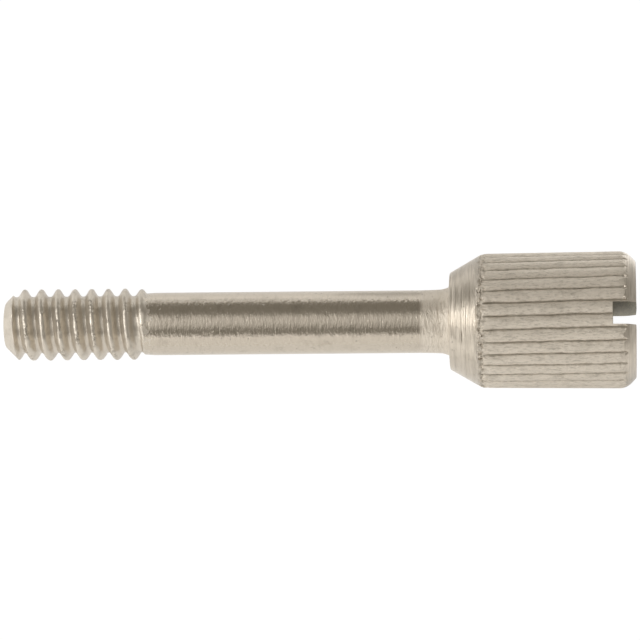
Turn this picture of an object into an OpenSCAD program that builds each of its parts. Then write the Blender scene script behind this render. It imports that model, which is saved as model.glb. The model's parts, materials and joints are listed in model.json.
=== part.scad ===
// Slotted thumb screw: one piece, turned from bar, with a knurled barrel head,
// a plain shank and a rolled right-hand thread.
// It is drawn along its own axis, with the tip at 0 and the head upwards. It is then
// laid on its side, where it rests on its first full thread and on the edge between
// the cone and the knurl. The table is the plane z = 0 and the head points to +X.

/* [Overall] */
// Length from the tip to the free end of the head
overall_l = 29.8; // [24:0.01:60]

/* [Thread] */
// Diameter over the thread crests
thread_d = 3.38; // [3.2:0.01:4.2]
// Distance from one crest to the next
thread_pitch = 0.794; // [0.6:0.001:1]
// Diameter at the bottom of the thread groove
root_d = 2.65; // [2.3:0.01:2.8]
// Included angle between the thread flanks
flank_angle = 60; // [50:1:65]
// Width of the flat left on each crest
crest_flat = 0.18; // [0.06:0.01:0.24]
// Threaded length, measured from the tip
thread_l = 6.63; // [4:0.01:14]
// Turns over which the last ridge fades into the shank
runout_turns = 0.5; // [0.25:0.05:1]
// Turn of the thread about the axis
thread_turn = 304; // [0:1:359]

/* [Tip] */
// Diameter of the flat face at the tip
tip_face_d = 2.08; // [1:0.01:2.2]
// Slope of the tip chamfer from the axis
tip_angle = 45; // [30:1:60]

/* [Shank] */
// Diameter of the plain shank
shank_d = 2.95; // [2.85:0.01:3.15]
// Radius of the fillet where the shank meets the shoulder
fillet_r = 1.15; // [0.6:0.01:1.5]
// Length of the fillet along the shank
fillet_l = 0.56; // [0.2:0.01:0.59]

/* [Head] */
// Length of the head from the shoulder to its free end
head_l = 8.76; // [5:0.01:12]
// Diameter of the flat shoulder at the front of the head
shoulder_d = 4.54; // [4:0.01:5.6]
// Slope of the cone behind the shoulder from the axis
cone_angle = 30; // [20:1:50]
// Diameter over the knurl where it starts at the cone
knurl_front_d = 6.32; // [5.8:0.01:8]
// Diameter over the knurl where it ends at the chamfer
knurl_back_d = 6.45; // [5.8:0.01:8]
// Length of the chamfer round the free end, along the axis
end_chamfer = 0.5; // [0.2:0.01:0.8]
// Slope of the end chamfer from the axis
chamfer_angle = 45; // [30:1:60]
// Radius that blends the knurl into the end chamfer
end_round = 0.9; // [0.3:0.01:1.2]

/* [Knurl] */
// Number of straight grooves round the head
groove_count = 31; // [16:1:40]
// Depth of each groove
groove_depth = 0.15; // [0.08:0.01:0.25]
// Width of each groove at the surface
groove_w = 0.25; // [0.1:0.01:0.35]
// Lean of the grooves against the axis
groove_lean = 1.2; // [0:0.1:3]
// Turn of the first groove about the axis
groove_turn = 3.8; // [0:0.1:11.6]

/* [Slot] */
// Width of the screwdriver slot
slot_w = 1.04; // [0.6:0.01:1.6]
// Depth of the screwdriver slot
slot_depth = 1.12; // [0.6:0.01:2.5]
// Turn of the slot away from the upright
slot_turn = 6.3; // [-90:0.1:90]

/* [Hidden] */
$fn = 96;

// Length by which a cut runs past the faces it opens
cut_past = 1;
// Depth that the ridge reaches into the core it is rolled from
ridge_sink = 0.12;
// Straight steps in one turn of the ridge
ridge_steps = 40;
// Small angle at which a blend meets the faces beside it
blend_angle = 5;
// Depth that the shank and its fillet reach into the head
join_depth = 0.3;

thread_r = thread_d / 2;
root_r = root_d / 2;
tip_face_r = tip_face_d / 2;
shank_r = shank_d / 2;
shoulder_r = shoulder_d / 2;
front_r = knurl_front_d / 2;
back_r = knurl_back_d / 2;
end_face_r = back_r - end_chamfer * tan(chamfer_angle);
sunk_r = root_r - ridge_sink;

// Stations along the axis, from the tip
shoulder_s = overall_l - head_l;
knurl_s = shoulder_s + (front_r - shoulder_r) / tan(cone_angle);
chamfer_s = overall_l - end_chamfer;
full_thread_s = (thread_r - tip_face_r) / tan(tip_angle);
core_s = (root_r - tip_face_r) / tan(tip_angle);

// Ridge: a helix of steps, from the tip chamfer to its fading end in the shank
ridge_end_s = thread_l + thread_pitch * runout_turns / 2;
ridge_count = ceil((ridge_end_s - core_s) / thread_pitch * ridge_steps);
function ridge_s(i) = core_s + thread_pitch * i / ridge_steps;
function ridge_a(i) = thread_turn + 360 * ridge_s(i) / thread_pitch;
function ridge_left(i) = (ridge_count + 1 - i) / (ridge_steps * runout_turns);
function crest_r(i) = sunk_r + (thread_r - sunk_r) * min(1, ridge_left(i));
function half_w(i, r) = crest_flat / 2 + (crest_r(i) - r) * tan(flank_angle / 2);
function ridge_point(i, side, r) = [
    r * cos(ridge_a(i)),
    r * sin(ridge_a(i)),
    ridge_s(i) + side * half_w(i, r)
];
function ridge_section(i) = [
    ridge_point(i, -1, sunk_r),
    ridge_point(i, -1, crest_r(i)),
    ridge_point(i, 1, crest_r(i)),
    ridge_point(i, 1, sunk_r)
];

// Lie: the screw rests on the lowest full crest and on the front edge of the knurl
bottom_a = 270;
bottom_crest_s = thread_pitch * (bottom_a - thread_turn) / 360;
crest_lead = full_thread_s - crest_flat / 2 - bottom_crest_s;
rest_crest_s = bottom_crest_s + thread_pitch * ceil(crest_lead / thread_pitch);
rest_s = max(rest_crest_s - crest_flat / 2, full_thread_s);
lie_angle = atan((front_r - thread_r) / (knurl_s - rest_s));
lie_z = thread_r * cos(lie_angle) - rest_s * sin(lie_angle);
lie_x_max = overall_l * cos(lie_angle) + end_face_r * sin(lie_angle);
lie_x_min = -tip_face_r * sin(lie_angle);

module shank_outline() {
    centre_r = shank_r + fillet_r * cos(blend_angle);
    flare_s = shoulder_s - fillet_l;
    polygon([
        [0, 0],
        [tip_face_r, 0],
        [root_r, core_s],
        [root_r, thread_l - (shank_r - root_r)],
        [shank_r, thread_l],
        [shank_r, shoulder_s + join_depth],
        [0, shoulder_s + join_depth]
    ]);
    difference() {
        translate([0, flare_s]) square([centre_r, fillet_l + join_depth]);
        translate([centre_r, flare_s]) circle(fillet_r);
    }
}

module head_outline() {
    taper = atan((back_r - front_r) / (chamfer_s - knurl_s));
    side = [sin(taper), cos(taper)];
    slope = [-sin(chamfer_angle), cos(chamfer_angle)];
    side_in = [-cos(taper), sin(taper)];
    corner = [back_r, chamfer_s];
    inset = end_round * cos(blend_angle);
    foot = inset * tan((chamfer_angle + taper) / 2);
    difference() {
        polygon([
            [0, shoulder_s],
            [shoulder_r, shoulder_s],
            [front_r, knurl_s],
            corner,
            [end_face_r, overall_l],
            [0, overall_l]
        ]);
        difference() {
            polygon([corner - foot * side, corner + [end_chamfer, 0], corner + foot * slope]);
            translate(corner - foot * side + inset * side_in) circle(end_round);
        }
    }
}

module thread_ridge() {
    corners = 4;
    points = [for (i = [0:ridge_count]) each ridge_section(i)];
    walls = [
        for (i = [0:ridge_count - 1], c = [0:corners - 1])
            let (a = i * corners + c, b = i * corners + (c + 1) % corners)
                each [[a, b, b + corners], [a, b + corners, a + corners]]
    ];
    start = [for (c = [0:corners - 1]) c];
    end = [for (c = [corners - 1:-1:0]) ridge_count * corners + c];
    polyhedron(points, concat(walls, [start, end]));
}

module tip_cone() {
    rim_r = thread_r + cut_past;
    rotate_extrude() polygon([
        [0, 0],
        [tip_face_r, 0],
        [rim_r, (rim_r - tip_face_r) / tan(tip_angle)],
        [rim_r, thread_l + cut_past],
        [0, thread_l + cut_past]
    ]);
}

// One V groove, which follows the slope of the knurl and leans a little round it
module knurl_groove() {
    middle_s = (knurl_s + chamfer_s) / 2;
    middle_r = (front_r + back_r) / 2;
    taper = atan((back_r - front_r) / (chamfer_s - knurl_s));
    length = chamfer_s - knurl_s + 2 * cut_past;
    mouth = groove_w / 2 * (groove_depth + cut_past) / groove_depth;
    translate([middle_r, 0, middle_s])
        rotate([groove_lean, taper, 0])
            translate([0, 0, -length / 2])
                linear_extrude(length)
                    polygon([[-groove_depth, 0], [cut_past, -mouth], [cut_past, mouth]]);
}

module driver_slot() {
    rotate([0, 0, -slot_turn])
        translate([-slot_w / 2, -back_r - cut_past, overall_l - slot_depth])
            cube([slot_w, 2 * (back_r + cut_past), slot_depth + cut_past]);
}

module head() {
    difference() {
        rotate_extrude() head_outline();
        for (k = [0:groove_count - 1])
            rotate([0, 0, groove_turn + 360 * k / groove_count]) knurl_groove();
        driver_slot();
    }
}

module upright_screw() {
    rotate_extrude() shank_outline();
    intersection() {
        thread_ridge();
        tip_cone();
    }
    head();
}

module thumb_screw() {
    color("#b4aa9c")
        translate([-(lie_x_min + lie_x_max) / 2, 0, lie_z])
            rotate([0, -lie_angle, 0])
                rotate([90, 0, 90])
                    upright_screw();
}

thumb_screw();
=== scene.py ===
"""A slotted thumb screw with a knurled barrel head, lying on a pale table."""

import json
import math
from types import SimpleNamespace

import bpy
from mathutils import Matrix, Vector


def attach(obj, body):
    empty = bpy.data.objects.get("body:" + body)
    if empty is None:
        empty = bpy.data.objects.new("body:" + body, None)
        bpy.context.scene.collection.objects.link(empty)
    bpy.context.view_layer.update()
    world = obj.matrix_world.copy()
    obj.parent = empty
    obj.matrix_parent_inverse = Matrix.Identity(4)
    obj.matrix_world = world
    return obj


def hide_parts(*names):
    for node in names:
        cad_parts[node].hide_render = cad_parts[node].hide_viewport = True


bl_info = {
    "name": "Thumb screw",
    "version": (1, 0, 0),
    "blender": (4, 5, 0),
    "location": "3D View > Sidebar > Thumb screw",
    "description": "Turns, knurls, slots and threads a captive thumb screw and lays it on a table",
    "category": "Add Mesh",
}

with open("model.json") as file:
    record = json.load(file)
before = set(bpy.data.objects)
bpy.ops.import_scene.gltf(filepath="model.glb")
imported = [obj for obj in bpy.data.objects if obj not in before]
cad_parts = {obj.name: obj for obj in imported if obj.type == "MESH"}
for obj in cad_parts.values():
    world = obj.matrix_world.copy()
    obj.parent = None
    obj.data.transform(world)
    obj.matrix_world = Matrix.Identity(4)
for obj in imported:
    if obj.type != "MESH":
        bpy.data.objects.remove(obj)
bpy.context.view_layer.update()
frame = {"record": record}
CAD_NODE = "thumb_screw"
MM = 0.001
WELD = 1e-7
CREASE = math.radians(32)
STRAIGHT_STEPS, TAPER_STEPS, FILLET_STEPS = 28, 8, 12
LAMP_DISTANCE = 0.6

# Each lamp's bearing from +X and rise in degrees, width and height in metres, and level
LAMPS = {
    "front_softbox": (270, 21, 1.25, 0.50, 0.70),
    "tip_softbox": (190, 21, 1.0, 0.50, 1.1),
    "tip_lamp": (172, 30, 0.30, 0.22, 2.7),
    "tip_panel": (171, 63, 0.5, 0.55, 0.42),
    "back_strip": (90, 2, 1.4, 0.04, 1.0),
    "overhead_panel": (90, 76, 0.9, 0.44, 0.14),
    "head_fill": (0, 18, 0.9, 0.34, 0.2),
}


# ---------------------------------------------------------------- sizes and colours


def length(name, description, default_mm):
    """A length property whose default is given in millimetres."""
    return bpy.props.FloatProperty(
        name=name, description=description, default=default_mm * MM,
        precision=5, subtype="DISTANCE", unit="LENGTH",
    )


def angle(name, description, degrees):
    """An angle property whose default is given in degrees."""
    return bpy.props.FloatProperty(
        name=name, description=description, default=math.radians(degrees),
        precision=3, subtype="ANGLE", unit="ROTATION",
    )


def ratio(name, description, default):
    """A plain number."""
    return bpy.props.FloatProperty(name=name, description=description, default=default)


def linear(code):
    """An sRGB hex colour as linear red, green and blue."""
    parts = [int(code[i:i + 2], 16) / 255 for i in (1, 3, 5)]
    return [c / 12.92 if c <= 0.04045 else ((c + 0.055) / 1.055) ** 2.4 for c in parts]


def colour(name, description, code):
    """A colour property whose default is an sRGB hex value."""
    return bpy.props.FloatVectorProperty(
        name=name, description=description, default=linear(code), size=3,
        subtype="COLOR", min=0.0, max=1.0,
    )


class BlankSizes(bpy.types.PropertyGroup):
    """The turned blank: its lengths are measured along the axis from the tip."""

    overall: length("Length", "From the tip to the free end of the head", 29.8)
    tip_radius: length("Tip radius", "Radius of the flat face at the tip", 1.04)
    tip_round: length("Tip rounding", "Size of the worn edge round the tip face", 0.1)
    shank_radius: length("Shank radius", "Radius of the plain shank", 1.475)
    fillet_radius: length("Fillet radius", "Radius of the fillet under the head", 1.15)
    fillet_length: length("Fillet length", "Length of the fillet along the shank", 0.56)
    taper_length: length("Taper length", "Length over which the shank swells to the fillet", 0.85)
    taper_rise: length("Taper rise", "Radius gained over the taper", 0.02)
    head_length: length("Head length", "From the shoulder to the free end", 8.76)
    shoulder_radius: length("Shoulder radius", "Radius of the flat under the head", 2.27)
    cone_angle: angle("Cone angle", "Slope of the cone from the axis", 30)
    front_radius: length("Front radius", "Radius over the knurl at the cone", 3.16)
    back_radius: length("Back radius", "Radius over the knurl at the free end", 3.225)
    chamfer: length("End chamfer", "Width of the chamfer round the free end", 0.5)
    end_round: length("End rounding", "Tangent length of the blend into the chamfer", 0.37)
    crown: length("End crown", "Height lost from the middle of the end face to its rim", 0.03)


class ThreadSizes(bpy.types.PropertyGroup):
    """The rolled thread."""

    columns: bpy.props.IntProperty(
        name="Columns", description="Straight steps in one turn of thread and shank", default=124)
    rows: bpy.props.IntProperty(
        name="Rows", description="Rows of faces across one pitch", default=20)
    pitch: length("Pitch", "Distance from one crest to the next", 0.794)
    crest_radius: length("Crest radius", "Radius over the crests", 1.69)
    root_radius: length("Root radius", "Radius at the bottom of the groove", 1.325)
    crest_flat: length("Crest flat", "Width of the flat left on each crest", 0.18)
    flank: angle("Flank angle", "Slope of a flank from the axis' square", 30)
    end: length("Thread end", "Threaded length from the tip", 6.63)
    fade: ratio("Run-out", "Turns over which the last ridge fades", 0.5)
    turn: angle("Turn", "Turn of the thread about the axis", 304)
    dip: length("Dip", "How far the shank falls in where the rolling stopped", 0.035)
    wear: length("Unevenness", "Depth of the dents along the crests", 0.03)


class KnurlSizes(bpy.types.PropertyGroup):
    """The straight knurl."""

    count: bpy.props.IntProperty(
        name="Grooves", description="Number of grooves round the head", default=31)
    columns: bpy.props.IntProperty(
        name="Columns", description="Columns of faces from one groove to the next", default=12)
    depth: length("Depth", "Depth of a groove", 0.15)
    width: length("Width", "Width of a groove at the surface", 0.25)
    lean: angle("Lean", "Lean of the grooves against the axis", 1.2)
    turn: angle("Turn", "Turn of the first groove about the axis", 3.8)
    lip: length("Lip", "How far a land's crown stands above its lips", 0.045)
    flare: ratio("Flare", "Share by which a groove widens at its ends", 0.5)
    wander: length("Wander", "How far a groove strays sideways", 0.07)
    ragged: ratio("Raggedness", "Share by which a groove's width varies", 0.9)
    burr: length("Burr", "Depth of the tears in the lands' front edge", 0.09)


class SlotSizes(bpy.types.PropertyGroup):
    """The screwdriver slot."""

    width: length("Width", "Width of the slot", 1.04)
    depth: length("Depth", "Depth of the slot", 1.12)
    turn: angle("Turn", "Turn of the slot away from the upright", 6.3)


class Finishes(bpy.types.PropertyGroup):
    """Colours of the nickel plate as each tool left it; the tarnish colour and the sawn colour also serve
    as painted shade.
    """

    turned: colour("Turned", "Nickel over turned steel", "#CEC4B5")
    head: colour("Head", "Nickel over the turned head", "#D5CBBC")
    rolled: colour("Rolled", "Nickel over rolled thread", "#DCD3C5")
    knurled: colour("Knurled", "Nickel over the knurl's lands", "#ECE2D3")
    # The tarnish colour darkens random blotches, pits and marks as tarnish, and the knurl's grooves and the
    # tool lines as painted shade.
    tarnish: colour("Tarnish", "Nickel gone dull in hollows", "#6E6552")
    # The sawn colour is darker partly for the saw's dull cut and partly as painted shade inside the slot.
    sawn: colour("Sawn", "Nickel over the sawn slot", "#A39B7E")
    table: colour("Table", "Painted table and backdrop", "#FFFFFF")


class StageSizes(bpy.types.PropertyGroup):
    """Camera, lamps and table."""

    distance: length("Camera distance", "From the camera to the screw's axis", 215)
    view_width: length("View width", "Width of the view at the screw's axis", 30.17)
    aim: length("Aim", "Point along the axis that the camera looks at, from the tip", 14.9)
    rise: length("Rise", "How far above the axis the view is centred", 0.118)
    roll: angle("Roll", "Turn of the camera about its line of sight", -0.52)
    table_size: length("Table size", "Side of the square table top", 3000)


# ---------------------------------------------------------------- nodes


def add(tree, kind, inputs=None, **settings):
    """Adds a node, applies its settings and fills or links its inputs; returns the node."""
    node = tree.nodes.new(kind)
    for name, value in settings.items():
        setattr(node, name, value)
    for key, value in (inputs or {}).items():
        socket = node.inputs[key]
        if isinstance(value, Field):
            value = value.socket
        if isinstance(value, bpy.types.NodeSocket):
            tree.links.new(value, socket)
        else:
            socket.default_value = value
    return node


class Field:
    """A node socket that can be written in a formula."""

    def __init__(self, tree, socket):
        self.tree, self.socket = tree, socket

    def op(self, operation, *others, clamp=False):
        values = dict(enumerate((self, *others)))
        node = add(self.tree, "ShaderNodeMath", values, operation=operation, use_clamp=clamp)
        return Field(self.tree, node.outputs[0])

    def __add__(self, other):
        return self.op("ADD", other)

    __radd__ = __add__

    def __mul__(self, other):
        return self.op("MULTIPLY", other)

    __rmul__ = __mul__

    def __sub__(self, other):
        return self.op("SUBTRACT", other)

    def __rsub__(self, other):
        return self.op("MULTIPLY", -1.0).op("ADD", other)

    def __truediv__(self, other):
        return self.op("DIVIDE", other)

    def least(self, other, blend=0.0):
        return self.op("SMOOTH_MIN", other, blend) if blend else self.op("MINIMUM", other)

    def most(self, other, blend=0.0):
        return self.op("SMOOTH_MAX", other, blend) if blend else self.op("MAXIMUM", other)

    def ramp(self, low, high, kind="SMOOTHSTEP"):
        """0 below low, 1 above high."""
        node = add(
            self.tree, "ShaderNodeMapRange", {0: self, 1: low, 2: high, 3: 0.0, 4: 1.0},
            interpolation_type=kind, clamp=True,
        )
        return Field(self.tree, node.outputs[0])


def blend(a, b, share):
    """a where share is 0, b where it is 1."""
    return a + (b - a) * share


def combine(tree, x, y, z):
    """A vector from three numbers or fields."""
    return add(tree, "ShaderNodeCombineXYZ", {0: x, 1: y, 2: z}).outputs[0]


def noise(tree, vector, **inputs):
    """Noise from 0 to 1, one lump for each unit of vector."""
    names = {"Vector": vector, "Scale": 1.0, **inputs}
    return Field(tree, add(tree, "ShaderNodeTexNoise", names).outputs[0])


# ---------------------------------------------------------------- outlines


def rounded(corners, step):
    """Points along (radius, height, round) corners, with rounds as quadratic curves,
    no further apart than each corner's own step to the next."""
    points = []
    for i, (r, s, size, gap) in enumerate(corners):
        here = Vector((r, s))
        if 0 < i < len(corners) - 1 and size > 0:
            before = (Vector(corners[i - 1][:2]) - here).normalized() * size
            after = (Vector(corners[i + 1][:2]) - here).normalized() * size
            bends = max(2, math.ceil(2 * size / step))
            curve = [
                here + before * (1 - t / bends) ** 2 + after * (t / bends) ** 2
                for t in range(bends + 1)
            ]
        else:
            curve = [here]
        if points:
            start = points[-1][0]
            pieces = max(1, round((curve[0] - start).length / points[-1][1]))
            points += [(start.lerp(curve[0], t / pieces), gap) for t in range(1, pieces)]
        points += [(point, gap) for point in curve]
    return [point for point, _ in points]


def arc(centre, radius, start, end, steps):
    """Points on an arc, angles in radians from the outward direction."""
    return [
        Vector((centre[0] + radius * math.cos(a), centre[1] + radius * math.sin(a)))
        for a in (start + (end - start) * t / steps for t in range(steps + 1))
    ]


def stations(blank, thread):
    """The heights along the axis that several forms share."""
    shoulder = blank.overall - blank.head_length
    cone = (blank.front_radius - blank.shoulder_radius) / math.tan(blank.cone_angle)
    return {
        "smooth": thread.end + 0.6 * thread.pitch,
        "shoulder": shoulder,
        "knurl": shoulder + cone,
        "chamfer": blank.overall - blank.chamfer,
    }


def tip_outline(blank):
    """From the middle of the tip face to the start of the chamfer."""
    size = blank.tip_round
    slope = size * math.sqrt(0.5)
    corners = [
        (0, 0, 0, 0.2 * MM),
        (blank.tip_radius, 0, size, 0.1 * MM),
        (blank.tip_radius + slope, slope, 0, 0.1 * MM),
    ]
    return rounded(corners, 0.06 * MM)


def shank_outline(blank, at):
    """From the end of the thread to the shoulder."""
    flare = at["shoulder"] - blank.fillet_length
    reach = math.asin(blank.fillet_length / blank.fillet_radius)
    taper = flare - blank.taper_length
    straight = [
        Vector((blank.shank_radius, at["smooth"] + (taper - at["smooth"]) * t / STRAIGHT_STEPS))
        for t in range(STRAIGHT_STEPS)
    ]
    rise = [
        Vector((blank.shank_radius + blank.taper_rise * t * t, taper + (flare - taper) * t))
        for t in (step / TAPER_STEPS for step in range(TAPER_STEPS))
    ]
    centre = (blank.shank_radius + blank.taper_rise + blank.fillet_radius, flare)
    return straight + rise + arc(centre, blank.fillet_radius, math.pi, math.pi - reach, FILLET_STEPS)


def head_outline(blank, at, start):
    """From the foot of the fillet to the middle of the end face."""
    fine, coarse = 0.035 * MM, 0.2 * MM
    end_radius = blank.back_radius - blank.chamfer
    corners = [
        (start.x, start.y, 0, 0.06 * MM),
        (blank.shoulder_radius, at["shoulder"], 0.05 * MM, 0.05 * MM),
        (blank.front_radius - 0.24 * MM, at["knurl"] - 0.42 * MM, 0, fine),
        (blank.front_radius, at["knurl"], 0.18 * MM, 0.07 * MM),
        (blank.back_radius, at["chamfer"], blank.end_round, 0.05 * MM),
        (end_radius, blank.overall - blank.crown, 0.06 * MM, coarse),
        (0, blank.overall, 0, coarse),
    ]
    return rounded(corners, 0.05 * MM)


def profile_mesh(name, points):
    """A chain of vertices in the XZ plane, the radius along X and the height along Z."""
    mesh = bpy.data.meshes.new(name)
    mesh.from_pydata([(p.x, 0, p.y) for p in points], [], [])
    return mesh


# ---------------------------------------------------------------- the turned screw


def sizes_of(group):
    """The sizes that a property group holds, by name."""
    names = [p.identifier for p in group.bl_rna.properties if p.identifier not in ("rna_type", "name")]
    return {name: getattr(group, name) for name in names}


def take_sizes(tree, groups):
    """Gives the tree one named input for each size. Returns the fields, one namespace for
    each group, and the value for each input's identifier."""
    fields, values = [], {}
    for title, sizes in groups.items():
        for name, value in sizes.items():
            kind = "NodeSocketInt" if isinstance(value, int) else "NodeSocketFloat"
            socket = tree.interface.new_socket(
                f"{title} {name}".replace("_", " "), in_out="INPUT", socket_type=kind)
            values[socket.identifier] = value
    source = add(tree, "NodeGroupInput")
    outputs = iter(source.outputs[1:])
    for sizes in groups.values():
        fields.append(SimpleNamespace(**{name: Field(tree, next(outputs)) for name in sizes}))
    return source.outputs[0], fields, values


def whole_part(field):
    """The number below a field, without its fraction."""
    return field.op("FLOOR")


def strip(tree, columns, rows):
    """A grid of faces with its column and row numbers; columns and rows count its steps."""
    grid = add(tree, "GeometryNodeMeshGrid", {"Vertices X": columns + 1, "Vertices Y": rows + 1})
    index = Field(tree, add(tree, "GeometryNodeInputIndex").outputs[0])
    column = whole_part(index / (rows + 1))
    return grid.outputs[0], column, index - column * (rows + 1)


def wrap(tree, mesh, turned, radius, height):
    """Moves a grid's points to an angle in turns, a radius and a height."""
    theta = turned.op("FRACT") * math.tau
    place = combine(tree, radius * theta.op("COSINE"), radius * theta.op("SINE"), height)
    return add(tree, "GeometryNodeSetPosition", {"Geometry": mesh, "Position": place}).outputs[0]


def outline_point(tree, outline, index):
    """The radius and height of one point of the outline."""
    place = add(tree, "GeometryNodeInputPosition").outputs[0]
    sample = add(
        tree, "GeometryNodeSampleIndex", {"Geometry": outline, "Value": place, "Index": index},
        data_type="FLOAT_VECTOR",
    )
    parts = add(tree, "ShaderNodeSeparateXYZ", {0: sample.outputs[0]}).outputs
    return Field(tree, parts[0]), Field(tree, parts[2])


def painted(tree, mesh, material, selection=None):
    """The mesh with a material on all its faces, or on those selected."""
    inputs = {"Geometry": mesh, "Material": material}
    if selection is not None:
        inputs["Selection"] = selection
    return add(tree, "GeometryNodeSetMaterial", inputs).outputs[0]


def lathe(tree, outline, first, rows, columns):
    """A plain turned surface over the outline's points from `first` on."""
    mesh, column, row = strip(tree, columns, rows)
    radius, height = outline_point(tree, outline, row + first)
    return wrap(tree, mesh, column / columns, radius, height)


def rolled_thread(tree, at, blank, thread):
    """The thread as one spiral band, a pitch wide, whose turns meet at the root."""
    turns = (at.smooth / thread.pitch).op("CEIL") + 2
    mesh, column, row = strip(tree, turns * thread.columns, thread.rows)
    turned = column / thread.columns
    crest = (turned - thread.turn / math.tau) * thread.pitch
    height = crest + (row / thread.rows - 0.5) * thread.pitch
    height = height.most(at.tip).least(at.smooth)

    off_crest = ((height - crest).op("ABSOLUTE") - thread.crest_flat / 2).most(0.0, 0.12 * MM)
    flank = thread.crest_radius - off_crest / thread.flank.op("TANGENT")
    ridge = (flank - thread.root_radius).most(0.0, 0.2 * MM)
    last = thread.end + thread.pitch / 4
    ridge = ridge * (1 - crest.ramp(last - thread.pitch * thread.fade, last, "LINEAR"))

    theta = turned.op("FRACT") * math.tau
    spot = combine(tree, theta.op("COSINE") * 1.7, theta.op("SINE") * 1.7, height / MM)
    lumps = noise(tree, spot, Scale=4.5, Detail=3.0, Roughness=0.6)
    dent = lumps.ramp(0.42, 0.75) * thread.wear * ridge.ramp(0.02 * MM, 0.3 * MM)

    relief = blank.shank_radius - thread.root_radius
    risen = relief - thread.dip * (1 - height.ramp(thread.end, at.smooth, "LINEAR"))
    base = thread.root_radius + risen * height.ramp(thread.end - relief, thread.end)
    radius = (thread.root_radius + ridge - dent).most(base, 0.03 * MM)
    radius = radius.least(blank.tip_radius + height)
    return wrap(tree, mesh, turned, radius, height)


def groove(tree, number, height, at, blank, knurl):
    """Where a groove's middle is, and its half width, both in turns."""
    seed = number - whole_part(number / knurl.count) * knurl.count
    radius = (blank.front_radius + blank.back_radius) / 2
    lean = (height - (at.knurl + at.chamfer) / 2) * knurl.lean.op("TANGENT") / radius
    spot = combine(tree, seed * 17.3, height / MM, 0.0)
    stray = noise(tree, spot, Scale=0.6, Detail=1.0) * 2 - 1
    torn = noise(tree, spot, Scale=3.5, Detail=3.0, Roughness=0.7) * 2 - 1
    ends = 1 - height.ramp(at.knurl - 0.05 * MM, at.knurl + 0.3 * MM)
    ends = ends + height.ramp(at.chamfer - 0.5 * MM, at.chamfer - 0.1 * MM)
    middle = knurl.turn - lean + stray * knurl.wander / radius
    half = knurl.width * (1 + torn * knurl.ragged) * (1 + ends * knurl.flare) / (2 * radius)
    return middle / math.tau + number / knurl.count, half / math.tau


def knurled_head(tree, outline, first, rows, at, blank, thread, knurl):
    """The head: a turned surface with as many columns as the grooves need, which slide to
    the grooves' lips along the cone. V grooves are cut below the knurl's line, and the
    front edge of each land is torn back a little."""
    mesh, column, row = strip(tree, knurl.count * knurl.columns, rows)
    radius, height = outline_point(tree, outline, row + first)

    tooth = whole_part(column / knurl.columns)
    step = column - tooth * knurl.columns
    half_columns = knurl.columns / 2
    valley = step.least(half_columns) / half_columns * 2 - 1
    land = (step / half_columns - 1).most(0.0)
    middle, half = groove(tree, tooth, height, at, blank, knurl)
    after, half_after = groove(tree, tooth + 1, height, at, blank, knurl)
    lip = middle + half
    warped = middle + half * valley + (after - half_after - lip) * land

    even = column / (knurl.count * knurl.columns)
    per_step = knurl.count * knurl.columns / thread.columns
    snapped = (column / per_step).op("ROUND") / thread.columns
    turned = blend(even, warped, height.ramp(at.shoulder, at.knurl - 0.4 * MM))
    turned = blend(snapped, turned, row.op("GREATER_THAN", 0.5))

    slope = (blank.back_radius - blank.front_radius) / (at.chamfer - at.knurl)
    surface = blank.front_radius + (height - at.knurl) * slope
    seed = tooth - whole_part(tooth / knurl.count) * knurl.count
    spot = combine(tree, seed * 9.1, height / MM, 5.0)
    deep = noise(tree, spot, Scale=1.3, Detail=2.0).ramp(0.2, 0.6) * 0.35 + 0.65
    in_groove = 1 - land.op("GREATER_THAN", 0.0)
    deep = deep * (0.5 + height.ramp(at.knurl - 0.1 * MM, at.knurl + 0.3 * MM) * 0.5)
    narrowing = 1 - valley.op("ABSOLUTE")
    cut = (knurl.depth * deep - knurl.lip).most(0.0) * narrowing * narrowing * in_groove
    crown = land * 2 - 1
    torn = noise(tree, combine(tree, seed * 5.3 + step * 0.45, height / MM * 3, 9.0), Detail=2.0)
    front = 1 - height.ramp(at.knurl, at.knurl + 0.5 * MM)
    surface = surface - torn.ramp(0.4, 0.7) * front * knurl.burr
    radius = radius.least(surface - cut - knurl.lip * crown * crown)
    mesh = wrap(tree, mesh, turned, radius, height)
    # how deep in a groove each point lies; the knurl's paint darkens the grooves by it as painted shade
    depth = narrowing * in_groove * height.ramp(at.knurl, at.knurl + 0.1 * MM)
    return add(tree, "GeometryNodeStoreNamedAttribute", {
        "Geometry": mesh, "Name": "groove", "Value": depth,
    }, data_type="FLOAT", domain="POINT").outputs[0]


def sawn_slot(tree, blank, slot):
    """The block of metal that the saw takes out of the head."""
    size = combine(tree, blank.back_radius * 3, slot.width, slot.depth * 2)
    block = add(
        tree, "GeometryNodeMeshCube",
        {"Size": size, "Vertices X": 2, "Vertices Y": 2, "Vertices Z": 2},
    )
    return add(tree, "GeometryNodeTransform", {
        "Geometry": block.outputs[0],
        "Translation": combine(tree, 0.0, 0.0, blank.overall),
        "Rotation": combine(tree, 0.0, 0.0, math.pi / 2 - slot.turn),
    }).outputs[0]


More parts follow.
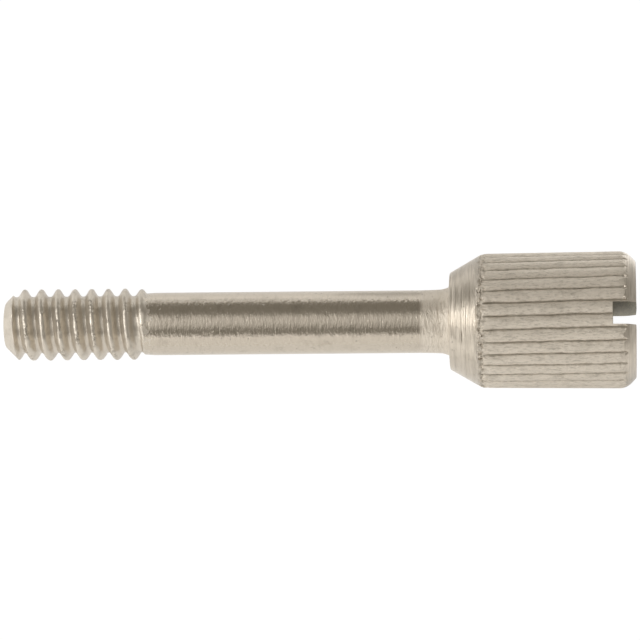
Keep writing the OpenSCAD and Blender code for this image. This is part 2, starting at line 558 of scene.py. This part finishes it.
def turned_screw_tree(groups, counts, pose, finishes):
    """The whole screw, upright with its tip at the bottom, then laid down."""
    tree = bpy.data.node_groups.new("Turned thumb screw", "GeometryNodeTree")
    tree.interface.new_socket("Geometry", in_out="OUTPUT", socket_type="NodeSocketGeometry")
    tree.interface.new_socket("Outline", in_out="INPUT", socket_type="NodeSocketGeometry")
    outline, fields, values = take_sizes(tree, groups)
    at, blank, thread, knurl, slot = fields
    tip, shank, head = counts

    face = lathe(tree, outline, 0, tip - 1, thread.columns)
    thread_mesh = rolled_thread(tree, at, blank, thread)
    shank_mesh = lathe(tree, outline, tip, shank - 1, thread.columns)
    head_mesh = knurled_head(tree, outline, tip + shank, head - 1, at, blank, thread, knurl)
    head_mesh = painted(tree, head_mesh, finishes["head"])
    _, _, place = separate_position(tree)
    spot = add(tree, "GeometryNodeInputPosition").outputs[0]
    stray = noise(tree, spot, Scale=2.5 / MM) - 0.5
    ragged = stray * 0.5 * MM
    start, end = at.knurl - ragged, at.chamfer - 0.08 * MM - ragged
    on_knurl = place.op("GREATER_THAN", start) * place.op("LESS_THAN", end)
    head_mesh = painted(tree, head_mesh, finishes["knurl"], on_knurl)
    thread_mesh = painted(tree, thread_mesh, finishes["thread"])
    past_thread = place.op("GREATER_THAN", at.smooth - 0.3 * MM + stray * 1.2 * MM)
    thread_mesh = painted(tree, thread_mesh, finishes["shank"], past_thread)
    parts = [
        painted(tree, face, finishes["thread"]),
        thread_mesh,
        painted(tree, shank_mesh, finishes["shank"]),
        head_mesh,
    ]
    whole = add(tree, "GeometryNodeJoinGeometry")
    for part in reversed(parts):
        tree.links.new(part, whole.inputs[0])
    welded = add(
        tree, "GeometryNodeMergeByDistance", {"Geometry": whole.outputs[0], "Distance": WELD})
    block = painted(tree, sawn_slot(tree, blank, slot), finishes["slot"])
    cut = add(
        tree, "GeometryNodeMeshBoolean", {"Mesh 1": welded.outputs[0], "Mesh 2": block},
        operation="DIFFERENCE", solver="MANIFOLD",
    )
    smooth = add(
        tree, "GeometryNodeSetShadeSmooth", {"Geometry": cut.outputs[0], "Shade Smooth": True})
    fold = Field(tree, add(tree, "GeometryNodeInputMeshEdgeAngle").outputs[0])
    creased = add(tree, "GeometryNodeSetShadeSmooth", {
        "Geometry": smooth.outputs[0],
        "Selection": fold.op("GREATER_THAN", CREASE),
        "Shade Smooth": False,
    }, domain="EDGE")
    laid = add(tree, "GeometryNodeTransform", {
        "Geometry": creased.outputs[0],
        "Translation": tuple(pose.translation),
        "Rotation": pose.to_euler(),
    })
    real = add(tree, "GeometryNodeRealizeInstances", {"Geometry": laid.outputs[0]})
    bare = Field(tree, add(tree, "GeometryNodeInputMaterialIndex").outputs[0])
    last = painted(tree, real.outputs[0], finishes["head"], bare.op("LESS_THAN", -0.5))
    add(tree, "NodeGroupOutput", {0: last})
    return tree, values


def separate_position(tree):
    """The three coordinates of each point."""
    place = add(tree, "GeometryNodeInputPosition").outputs[0]
    return [Field(tree, s) for s in add(tree, "ShaderNodeSeparateXYZ", {0: place}).outputs]


# ---------------------------------------------------------------- finishes


def own_axes():
    """The pose of the screw: its own height runs from the tip along the axis that the
    record's mounts give, and its own Y axis leans away from the table."""
    mounts = {m["name"]: m for m in frame["record"]["mounts"]}
    axis = Vector(mounts["driver_slot"]["axis"]).normalized()
    across = Vector((0, 1, 0))
    up = axis.cross(across).normalized()
    blank, slot = bpy.context.scene.screw_blank, bpy.context.scene.screw_slot
    tip = Vector(mounts["driver_slot"]["pos_m"]) - axis * (blank.overall - slot.depth)
    pose = Matrix((across, up, axis)).transposed().to_4x4()
    pose.translation = tip
    return pose


def plated_steel(name, roughness, drawn=0.0, metallic=1.0):
    """Nickel-plated steel, half matt where `metallic` is below 1. `drawn` stretches its gloss
    along the screw, as the rings of a lathe tool do. Returns the material, its tree, its
    shader, and the point on the screw in millimetres along the screw's own axes."""
    material = bpy.data.materials.new(name)
    material.use_nodes = True
    tree = material.node_tree
    tree.nodes.clear()
    pose = own_axes()
    shader = add(tree, "ShaderNodeBsdfPrincipled", {
        "Metallic": metallic, "Roughness": roughness, "Anisotropic": drawn,
    })
    if drawn:
        axis = combine(tree, *pose.col[2][:3])
        tree.links.new(axis, shader.inputs["Tangent"])
    add(tree, "ShaderNodeOutputMaterial", {"Surface": shader.outputs[0]})
    back = pose.inverted()
    place = add(tree, "ShaderNodeTexCoord").outputs["Object"]
    millimetres = add(tree, "ShaderNodeVectorMath", {0: place, 1: (1 / MM,) * 3}, operation="MULTIPLY")
    point = add(tree, "ShaderNodeMapping", {
        "Vector": millimetres.outputs[0],
        "Location": back.translation / MM,
        "Rotation": back.to_euler(),
    }).outputs[0]
    return material, tree, shader, point


def grain(tree, point, across, along, **inputs):
    """Noise from 0 to 1 whose lumps have a size in millimetres across and along the screw."""
    scaled = add(
        tree, "ShaderNodeVectorMath", {0: point, 1: (1 / across, 1 / across, 1 / along)},
        operation="MULTIPLY",
    )
    return noise(tree, scaled.outputs[0], **inputs)


def mixed(tree, a, b, share):
    """Colour a where share is 0, b where it is 1. Each is a socket or a linear colour."""
    a, b = (c if isinstance(c, bpy.types.NodeSocket) else (*c, 1) for c in (a, b))
    return add(tree, "ShaderNodeMix", {0: share, 6: a, 7: b}, data_type="RGBA").outputs[2]


def tint(tree, shader, clean, tarnish, share):
    """Colours the shader from clean plate towards the darker tarnish colour by a field from 0 to 1, which
    is tarnish in some places and painted shade in others.
    """
    tree.links.new(mixed(tree, clean, tarnish, share), shader.inputs["Base Color"])


def emboss(tree, shader, height_mm):
    """Gives the shader a relief from a height in millimetres."""
    bump = add(tree, "ShaderNodeBump", {"Strength": 1.0, "Distance": MM, "Height": height_mm})
    tree.links.new(bump.outputs[0], shader.inputs["Normal"])


def rolled_finish(colours, thread):
    """Rolled thread under nickel: pressed smooth but half matt, so that its roots stay
    light, and cloudy, with crests torn in places."""
    material, tree, shader, point = plated_steel("nickel_over_rolled_thread", 0.34, metallic=0.7)
    x, y, _ = (Field(tree, s) for s in add(tree, "ShaderNodeSeparateXYZ", {0: point}).outputs)
    radius = (x * x + y * y).op("SQRT")
    crest = radius.ramp(thread.crest_radius / MM - 0.1, thread.crest_radius / MM - 0.02)
    torn = crest * grain(tree, point, 0.9, 0.9, Detail=1.0).ramp(0.5, 0.6)
    beads = grain(tree, point, 0.12, 0.1, Detail=1.0)
    cloud = grain(tree, point, 0.5, 0.25, Detail=3.0, Roughness=0.6)
    share = cloud.ramp(0.4, 0.8) * 0.3 + torn * beads.ramp(0.5, 0.6) * 0.35
    tint(tree, shader, colours.rolled, colours.tarnish, share)
    emboss(tree, shader, cloud * 0.03 + torn * beads * 0.05)
    return material


def turned_finish(name, colours, clean, roughness, ringed, relief, rough):
    """Turned steel under nickel: rings a tool's feed apart and short scratches round the
    bar, of which `ringed` is the rings' share, with faint blotches and small pits. The rings
    and scratches also darken the colour, as painted shade. `rough` is the stretch that came
    out rougher: its start, its end, and the roughness and the share of relief that it gains.
    Where it gains roughness it is half matt, and its colour is painted paler there towards
    the knurl's colour, as painted light."""
    material, tree, shader, point = plated_steel(name, roughness, drawn=0.6)
    height = Field(tree, add(tree, "ShaderNodeSeparateXYZ", {0: point}).outputs[2])
    start, end, dulling, swelling = rough
    chatter = height.ramp(start, start + 0.3) * (1 - height.ramp(end, end + 0.1))
    ring = grain(tree, point, 9.0, 0.14, Detail=3.0, Roughness=0.8)
    scratch = grain(tree, point, 0.38, 0.12, Detail=3.0, Roughness=0.6)
    lines = blend(scratch, ring, ringed * (1 - chatter))
    blotch = grain(tree, point, 0.7, 0.9, Detail=3.0)
    pit = grain(tree, point, 0.16, 0.16, Detail=0.0).ramp(0.78, 0.84)
    # painted shade: the rings and scratches darken the colour as well as the relief
    share = blotch.ramp(0.5, 0.85) * 0.2 + lines.ramp(0.48, 0.66) * (0.05 + 0.15 * ringed)
    matt = chatter * dulling
    # painted light: the rough stretch is painted paler, towards the knurl's colour
    painted_light_colour = mixed(tree, clean, colours.knurled, matt * 4)
    tint(tree, shader, painted_light_colour, colours.tarnish, share + pit * 0.3)
    tree.links.new((roughness + matt).socket, shader.inputs["Roughness"])
    tree.links.new((1 - matt * 2.4).socket, shader.inputs["Metallic"])
    emboss(tree, shader, lines * relief * (1 + swelling * chatter) - pit * 0.01)
    return material


def knurled_finish(colours):
    """Knurled nickel: lands pressed dull and half matt, with a fine drawn grain that
    scatters light, and grooves painted darker by their depth as painted shade."""
    material, tree, shader, point = plated_steel("nickel_over_knurl", 0.5, metallic=0.5)
    groove_depth = add(tree, "ShaderNodeAttribute", attribute_name="groove").outputs["Fac"]
    # painted shade: the colour darkens with the depth in a groove
    groove_shade = Field(tree, groove_depth).ramp(0.4, 0.9)
    crystals = grain(tree, point, 0.08, 0.3, Detail=3.0, Roughness=0.7)
    patch = grain(tree, point, 0.5, 0.9, Detail=3.0)
    share = patch.ramp(0.5, 0.85) * 0.25 + crystals.ramp(0.45, 0.7) * 0.3 + groove_shade * 0.4
    tint(tree, shader, colours.knurled, colours.tarnish, share)
    emboss(tree, shader, crystals * 0.06)
    return material


def sawn_finish(colours):
    """Sawn slot under nickel: marks of the saw run along the slot, dull and greyer, the grey partly the
    saw's cut and partly painted shade inside the slot.
    """
    material, tree, shader, point = plated_steel("nickel_over_sawn_steel", 0.42)
    mark = grain(tree, point, 0.8, 0.07, Detail=3.0, Roughness=0.7)
    # painted shade: the slot's colour is kept darker than the plate's, partly for the shade inside the slot
    tint(tree, shader, colours.sawn, colours.tarnish, mark.ramp(0.3, 0.8))
    emboss(tree, shader, mark * 0.012)
    return material


# ---------------------------------------------------------------- operators


class OBJECT_OT_turn_thumb_screw(bpy.types.Operator):
    """Turn, thread, knurl and slot the thumb screw"""

    bl_idname = "object.turn_thumb_screw"
    bl_label = "Turn the thumb screw"

    def execute(self, context):
        scene = context.scene
        blank, thread, colours = scene.screw_blank, scene.screw_thread, scene.screw_finishes
        at = stations(blank, thread)
        tip = tip_outline(blank)
        shank = shank_outline(blank, at)
        head = head_outline(blank, at, shank[-1])
        at["tip"] = tip[-1].y
        finishes = {
            "thread": rolled_finish(colours, thread),
            "shank": turned_finish(
                "nickel_over_turned_shank", colours, colours.turned, 0.27, 0.12, 0.035, (19.6, 22, 0.2, 1)),
            "head": turned_finish(
                "nickel_over_turned_head", colours, colours.head, 0.3, 0.85, 0.13, (22.2, 22.6, 0, 1.5)),
            "knurl": knurled_finish(colours),
            "slot": sawn_finish(colours),
        }
        groups = {
            "Station": at,
            "Blank": sizes_of(blank),
            "Thread": sizes_of(thread),
            "Knurl": sizes_of(scene.screw_knurl),
            "Slot": sizes_of(scene.screw_slot),
        }
        counts = len(tip), len(shank), len(head)
        tree, values = turned_screw_tree(groups, counts, own_axes(), finishes)
        draft = bpy.data.objects.new("screw_outline", profile_mesh("screw_outline", tip + shank + head))
        scene.collection.objects.link(draft)
        modifier = draft.modifiers.new("Turned screw", "NODES")
        modifier.node_group = tree
        for identifier, value in values.items():
            modifier[identifier] = value
        depsgraph = context.evaluated_depsgraph_get()
        mesh = bpy.data.meshes.new_from_object(draft.evaluated_get(depsgraph), depsgraph=depsgraph)
        bpy.data.objects.remove(draft)
        mesh.name = "turned_thumb_screw"
        screw = bpy.data.objects.new("turned_thumb_screw", mesh)
        scene.collection.objects.link(screw)
        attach(screw, "root")
        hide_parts(CAD_NODE)
        return {"FINISHED"}


def softbox(name, bearing, rise, width, height, level):
    """A soft box that lights and is mirrored, but isn't seen, at a bearing round the table
    from +X and a rise above it, both in degrees. A level of 1 mirrors as white."""
    light = bpy.data.lights.new(name, "AREA")
    light.shape = "RECTANGLE"
    light.size, light.size_y = width, height
    light.energy = level * math.pi * width * height
    turn, lift = math.radians(bearing), math.radians(rise)
    place = Vector((math.cos(turn) * math.cos(lift), math.sin(turn) * math.cos(lift), math.sin(lift)))
    lamp = bpy.data.objects.new(name, light)
    lamp.matrix_world = aimed(place * LAMP_DISTANCE, (0, 0, 0))
    lamp.visible_camera = False
    bpy.context.scene.collection.objects.link(lamp)


def aimed(place, target):
    """A matrix at place whose -Z axis points to target."""
    turn = (Vector(target) - Vector(place)).to_track_quat("-Z", "Y")
    return Matrix.Translation(place) @ turn.to_matrix().to_4x4()


class SCENE_OT_thumb_screw_stage(bpy.types.Operator):
    """Set the table, the lamps and the camera"""

    bl_idname = "scene.thumb_screw_stage"
    bl_label = "Set the stage"

    def execute(self, context):
        scene = context.scene
        stage, pose = scene.screw_stage, own_axes()
        self.lay_table(scene, stage)
        self.hang_lamps()
        self.place_camera(scene, stage, pose)
        scene.view_settings.view_transform = "Standard"
        return {"FINISHED"}

    def lay_table(self, scene, stage):
        half = stage.table_size / 2
        mesh = bpy.data.meshes.new("table")
        corners = [(-half, -half, 0), (half, -half, 0), (half, half, 0), (-half, half, 0)]
        mesh.from_pydata(corners, [], [(0, 1, 2, 3)])
        table = bpy.data.objects.new("table", mesh)
        scene.collection.objects.link(table)
        table.data.materials.append(self.table_paint(scene.screw_finishes))

    def table_paint(self, colours):
        """White table: an even glow makes it white to the camera, where only a faint shadow shows; as
        mirrored by the screw its glow holds painted light and painted shade laid out by place, never above
        white.
        """
        material = bpy.data.materials.new("matt_white_paint")
        material.use_nodes = True
        tree = material.node_tree
        tree.nodes.clear()
        white = (*colours.table, 1)
        rays = add(tree, "ShaderNodeLightPath").outputs
        seen = Field(tree, rays["Is Camera Ray"])
        mirrored = Field(tree, rays["Is Glossy Ray"]).most(Field(tree, rays["Is Transmission Ray"]))
        place = add(tree, "ShaderNodeTexCoord").outputs["Object"]
        x, y, _ = (Field(tree, s) for s in add(tree, "ShaderNodeSeparateXYZ", {0: place}).outputs)
        # painted light and painted shade: as mirrored by the screw, the table glows brighter far back and
        # by the head, and darker to the back right and back left
        painted_light_and_shade_by_head = x.ramp(7.5 * MM, 9.5 * MM) * (1 - x.ramp(15 * MM, 20 * MM))
        painted_shade_back_right = x.ramp(15 * MM, 20 * MM) * y.ramp(-2 * MM, 5 * MM)
        painted_shade_back_left = (1 - x.ramp(-5 * MM, 2 * MM)) * y.ramp(11 * MM, 17 * MM)
        level = 0.62 + y.ramp(6 * MM, 11 * MM) * 0.25 - painted_shade_back_right * 0.5 - painted_shade_back_left * 0.55
        level = level + painted_light_and_shade_by_head * (y.ramp(2 * MM, 5 * MM) * 0.7 - 0.34 + y.ramp(-6 * MM, -2 * MM) * 0.22)
        # painted shade: the mirrored glow is darker behind the cone
        painted_shade_by_cone = x.ramp(0, 2 * MM) * (1 - x.ramp(6 * MM, 8 * MM)) * y.ramp(3 * MM, 6 * MM)
        level = (level - painted_shade_by_cone * 0.35).least(1.0)
        glow = add(tree, "ShaderNodeEmission", {
            "Color": white, "Strength": seen * 0.97 + mirrored * level,
        })
        grey = 0.8 - seen * 0.7 - mirrored * 0.3
        paint = add(tree, "ShaderNodeBsdfDiffuse", {"Color": combine(tree, grey, grey, grey)})
        both = add(tree, "ShaderNodeAddShader", {0: glow.outputs[0], 1: paint.outputs[0]})
        add(tree, "ShaderNodeOutputMaterial", {"Surface": both.outputs[0]})
        return material

    def hang_lamps(self):
        for name, layout in LAMPS.items():
            softbox(name, *layout)

    def place_camera(self, scene, stage, pose):
        aim = pose @ Vector((0, 0, stage.aim))
        data = bpy.data.cameras.new("camera")
        data.lens = data.sensor_width * stage.distance / stage.view_width
        data.clip_start, data.clip_end = 0.01, 10
        camera = bpy.data.objects.new("camera", data)
        camera.location = (aim.x, stage.rise, aim.z + stage.distance)
        camera.rotation_euler = (0, 0, stage.roll)
        scene.collection.objects.link(camera)
        scene.camera = camera
        world = bpy.data.worlds.new("studio")
        world.use_nodes = True
        tree = world.node_tree
        tree.nodes.clear()
        rays = add(tree, "ShaderNodeLightPath").outputs
        dim = add(tree, "ShaderNodeBackground", {"Color": (0.25, 0.236, 0.21, 1), "Strength": 1.0})
        white = add(tree, "ShaderNodeBackground", {"Color": (1, 1, 1, 1), "Strength": 1.0})
        mix = add(tree, "ShaderNodeMixShader", {
            0: rays["Is Camera Ray"], 1: dim.outputs[0], 2: white.outputs[0],
        })
        add(tree, "ShaderNodeOutputWorld", {"Surface": mix.outputs[0]})
        scene.world = world


class VIEW3D_PT_thumb_screw(bpy.types.Panel):
    """The screw's makers and sizes"""

    bl_label = "Thumb screw"
    bl_idname = "VIEW3D_PT_thumb_screw"
    bl_space_type = "VIEW_3D"
    bl_region_type = "UI"
    bl_category = "Thumb screw"

    def draw(self, context):
        layout = self.layout
        for operator in OPERATORS:
            layout.operator(operator.bl_idname)
        for name in GROUPS:
            box = layout.box()
            box.label(text=GROUPS[name].__doc__.split(":")[0].rstrip("."))
            group = getattr(context.scene, name)
            for size in sizes_of(group):
                box.prop(group, size)


OPERATORS = (OBJECT_OT_turn_thumb_screw, SCENE_OT_thumb_screw_stage)
GROUPS = {
    "screw_blank": BlankSizes,
    "screw_thread": ThreadSizes,
    "screw_knurl": KnurlSizes,
    "screw_slot": SlotSizes,
    "screw_finishes": Finishes,
    "screw_stage": StageSizes,
}


def register():
    for cls in (*GROUPS.values(), *OPERATORS, VIEW3D_PT_thumb_screw):
        bpy.utils.register_class(cls)
    for name, cls in GROUPS.items():
        setattr(bpy.types.Scene, name, bpy.props.PointerProperty(type=cls))


def unregister():
    for name in GROUPS:
        delattr(bpy.types.Scene, name)
    for cls in (VIEW3D_PT_thumb_screw, *OPERATORS, *GROUPS.values()):
        bpy.utils.unregister_class(cls)


def main():
    register()
    bpy.ops.object.turn_thumb_screw()
    bpy.ops.scene.thumb_screw_stage()


if __name__ == "__main__":
    main()
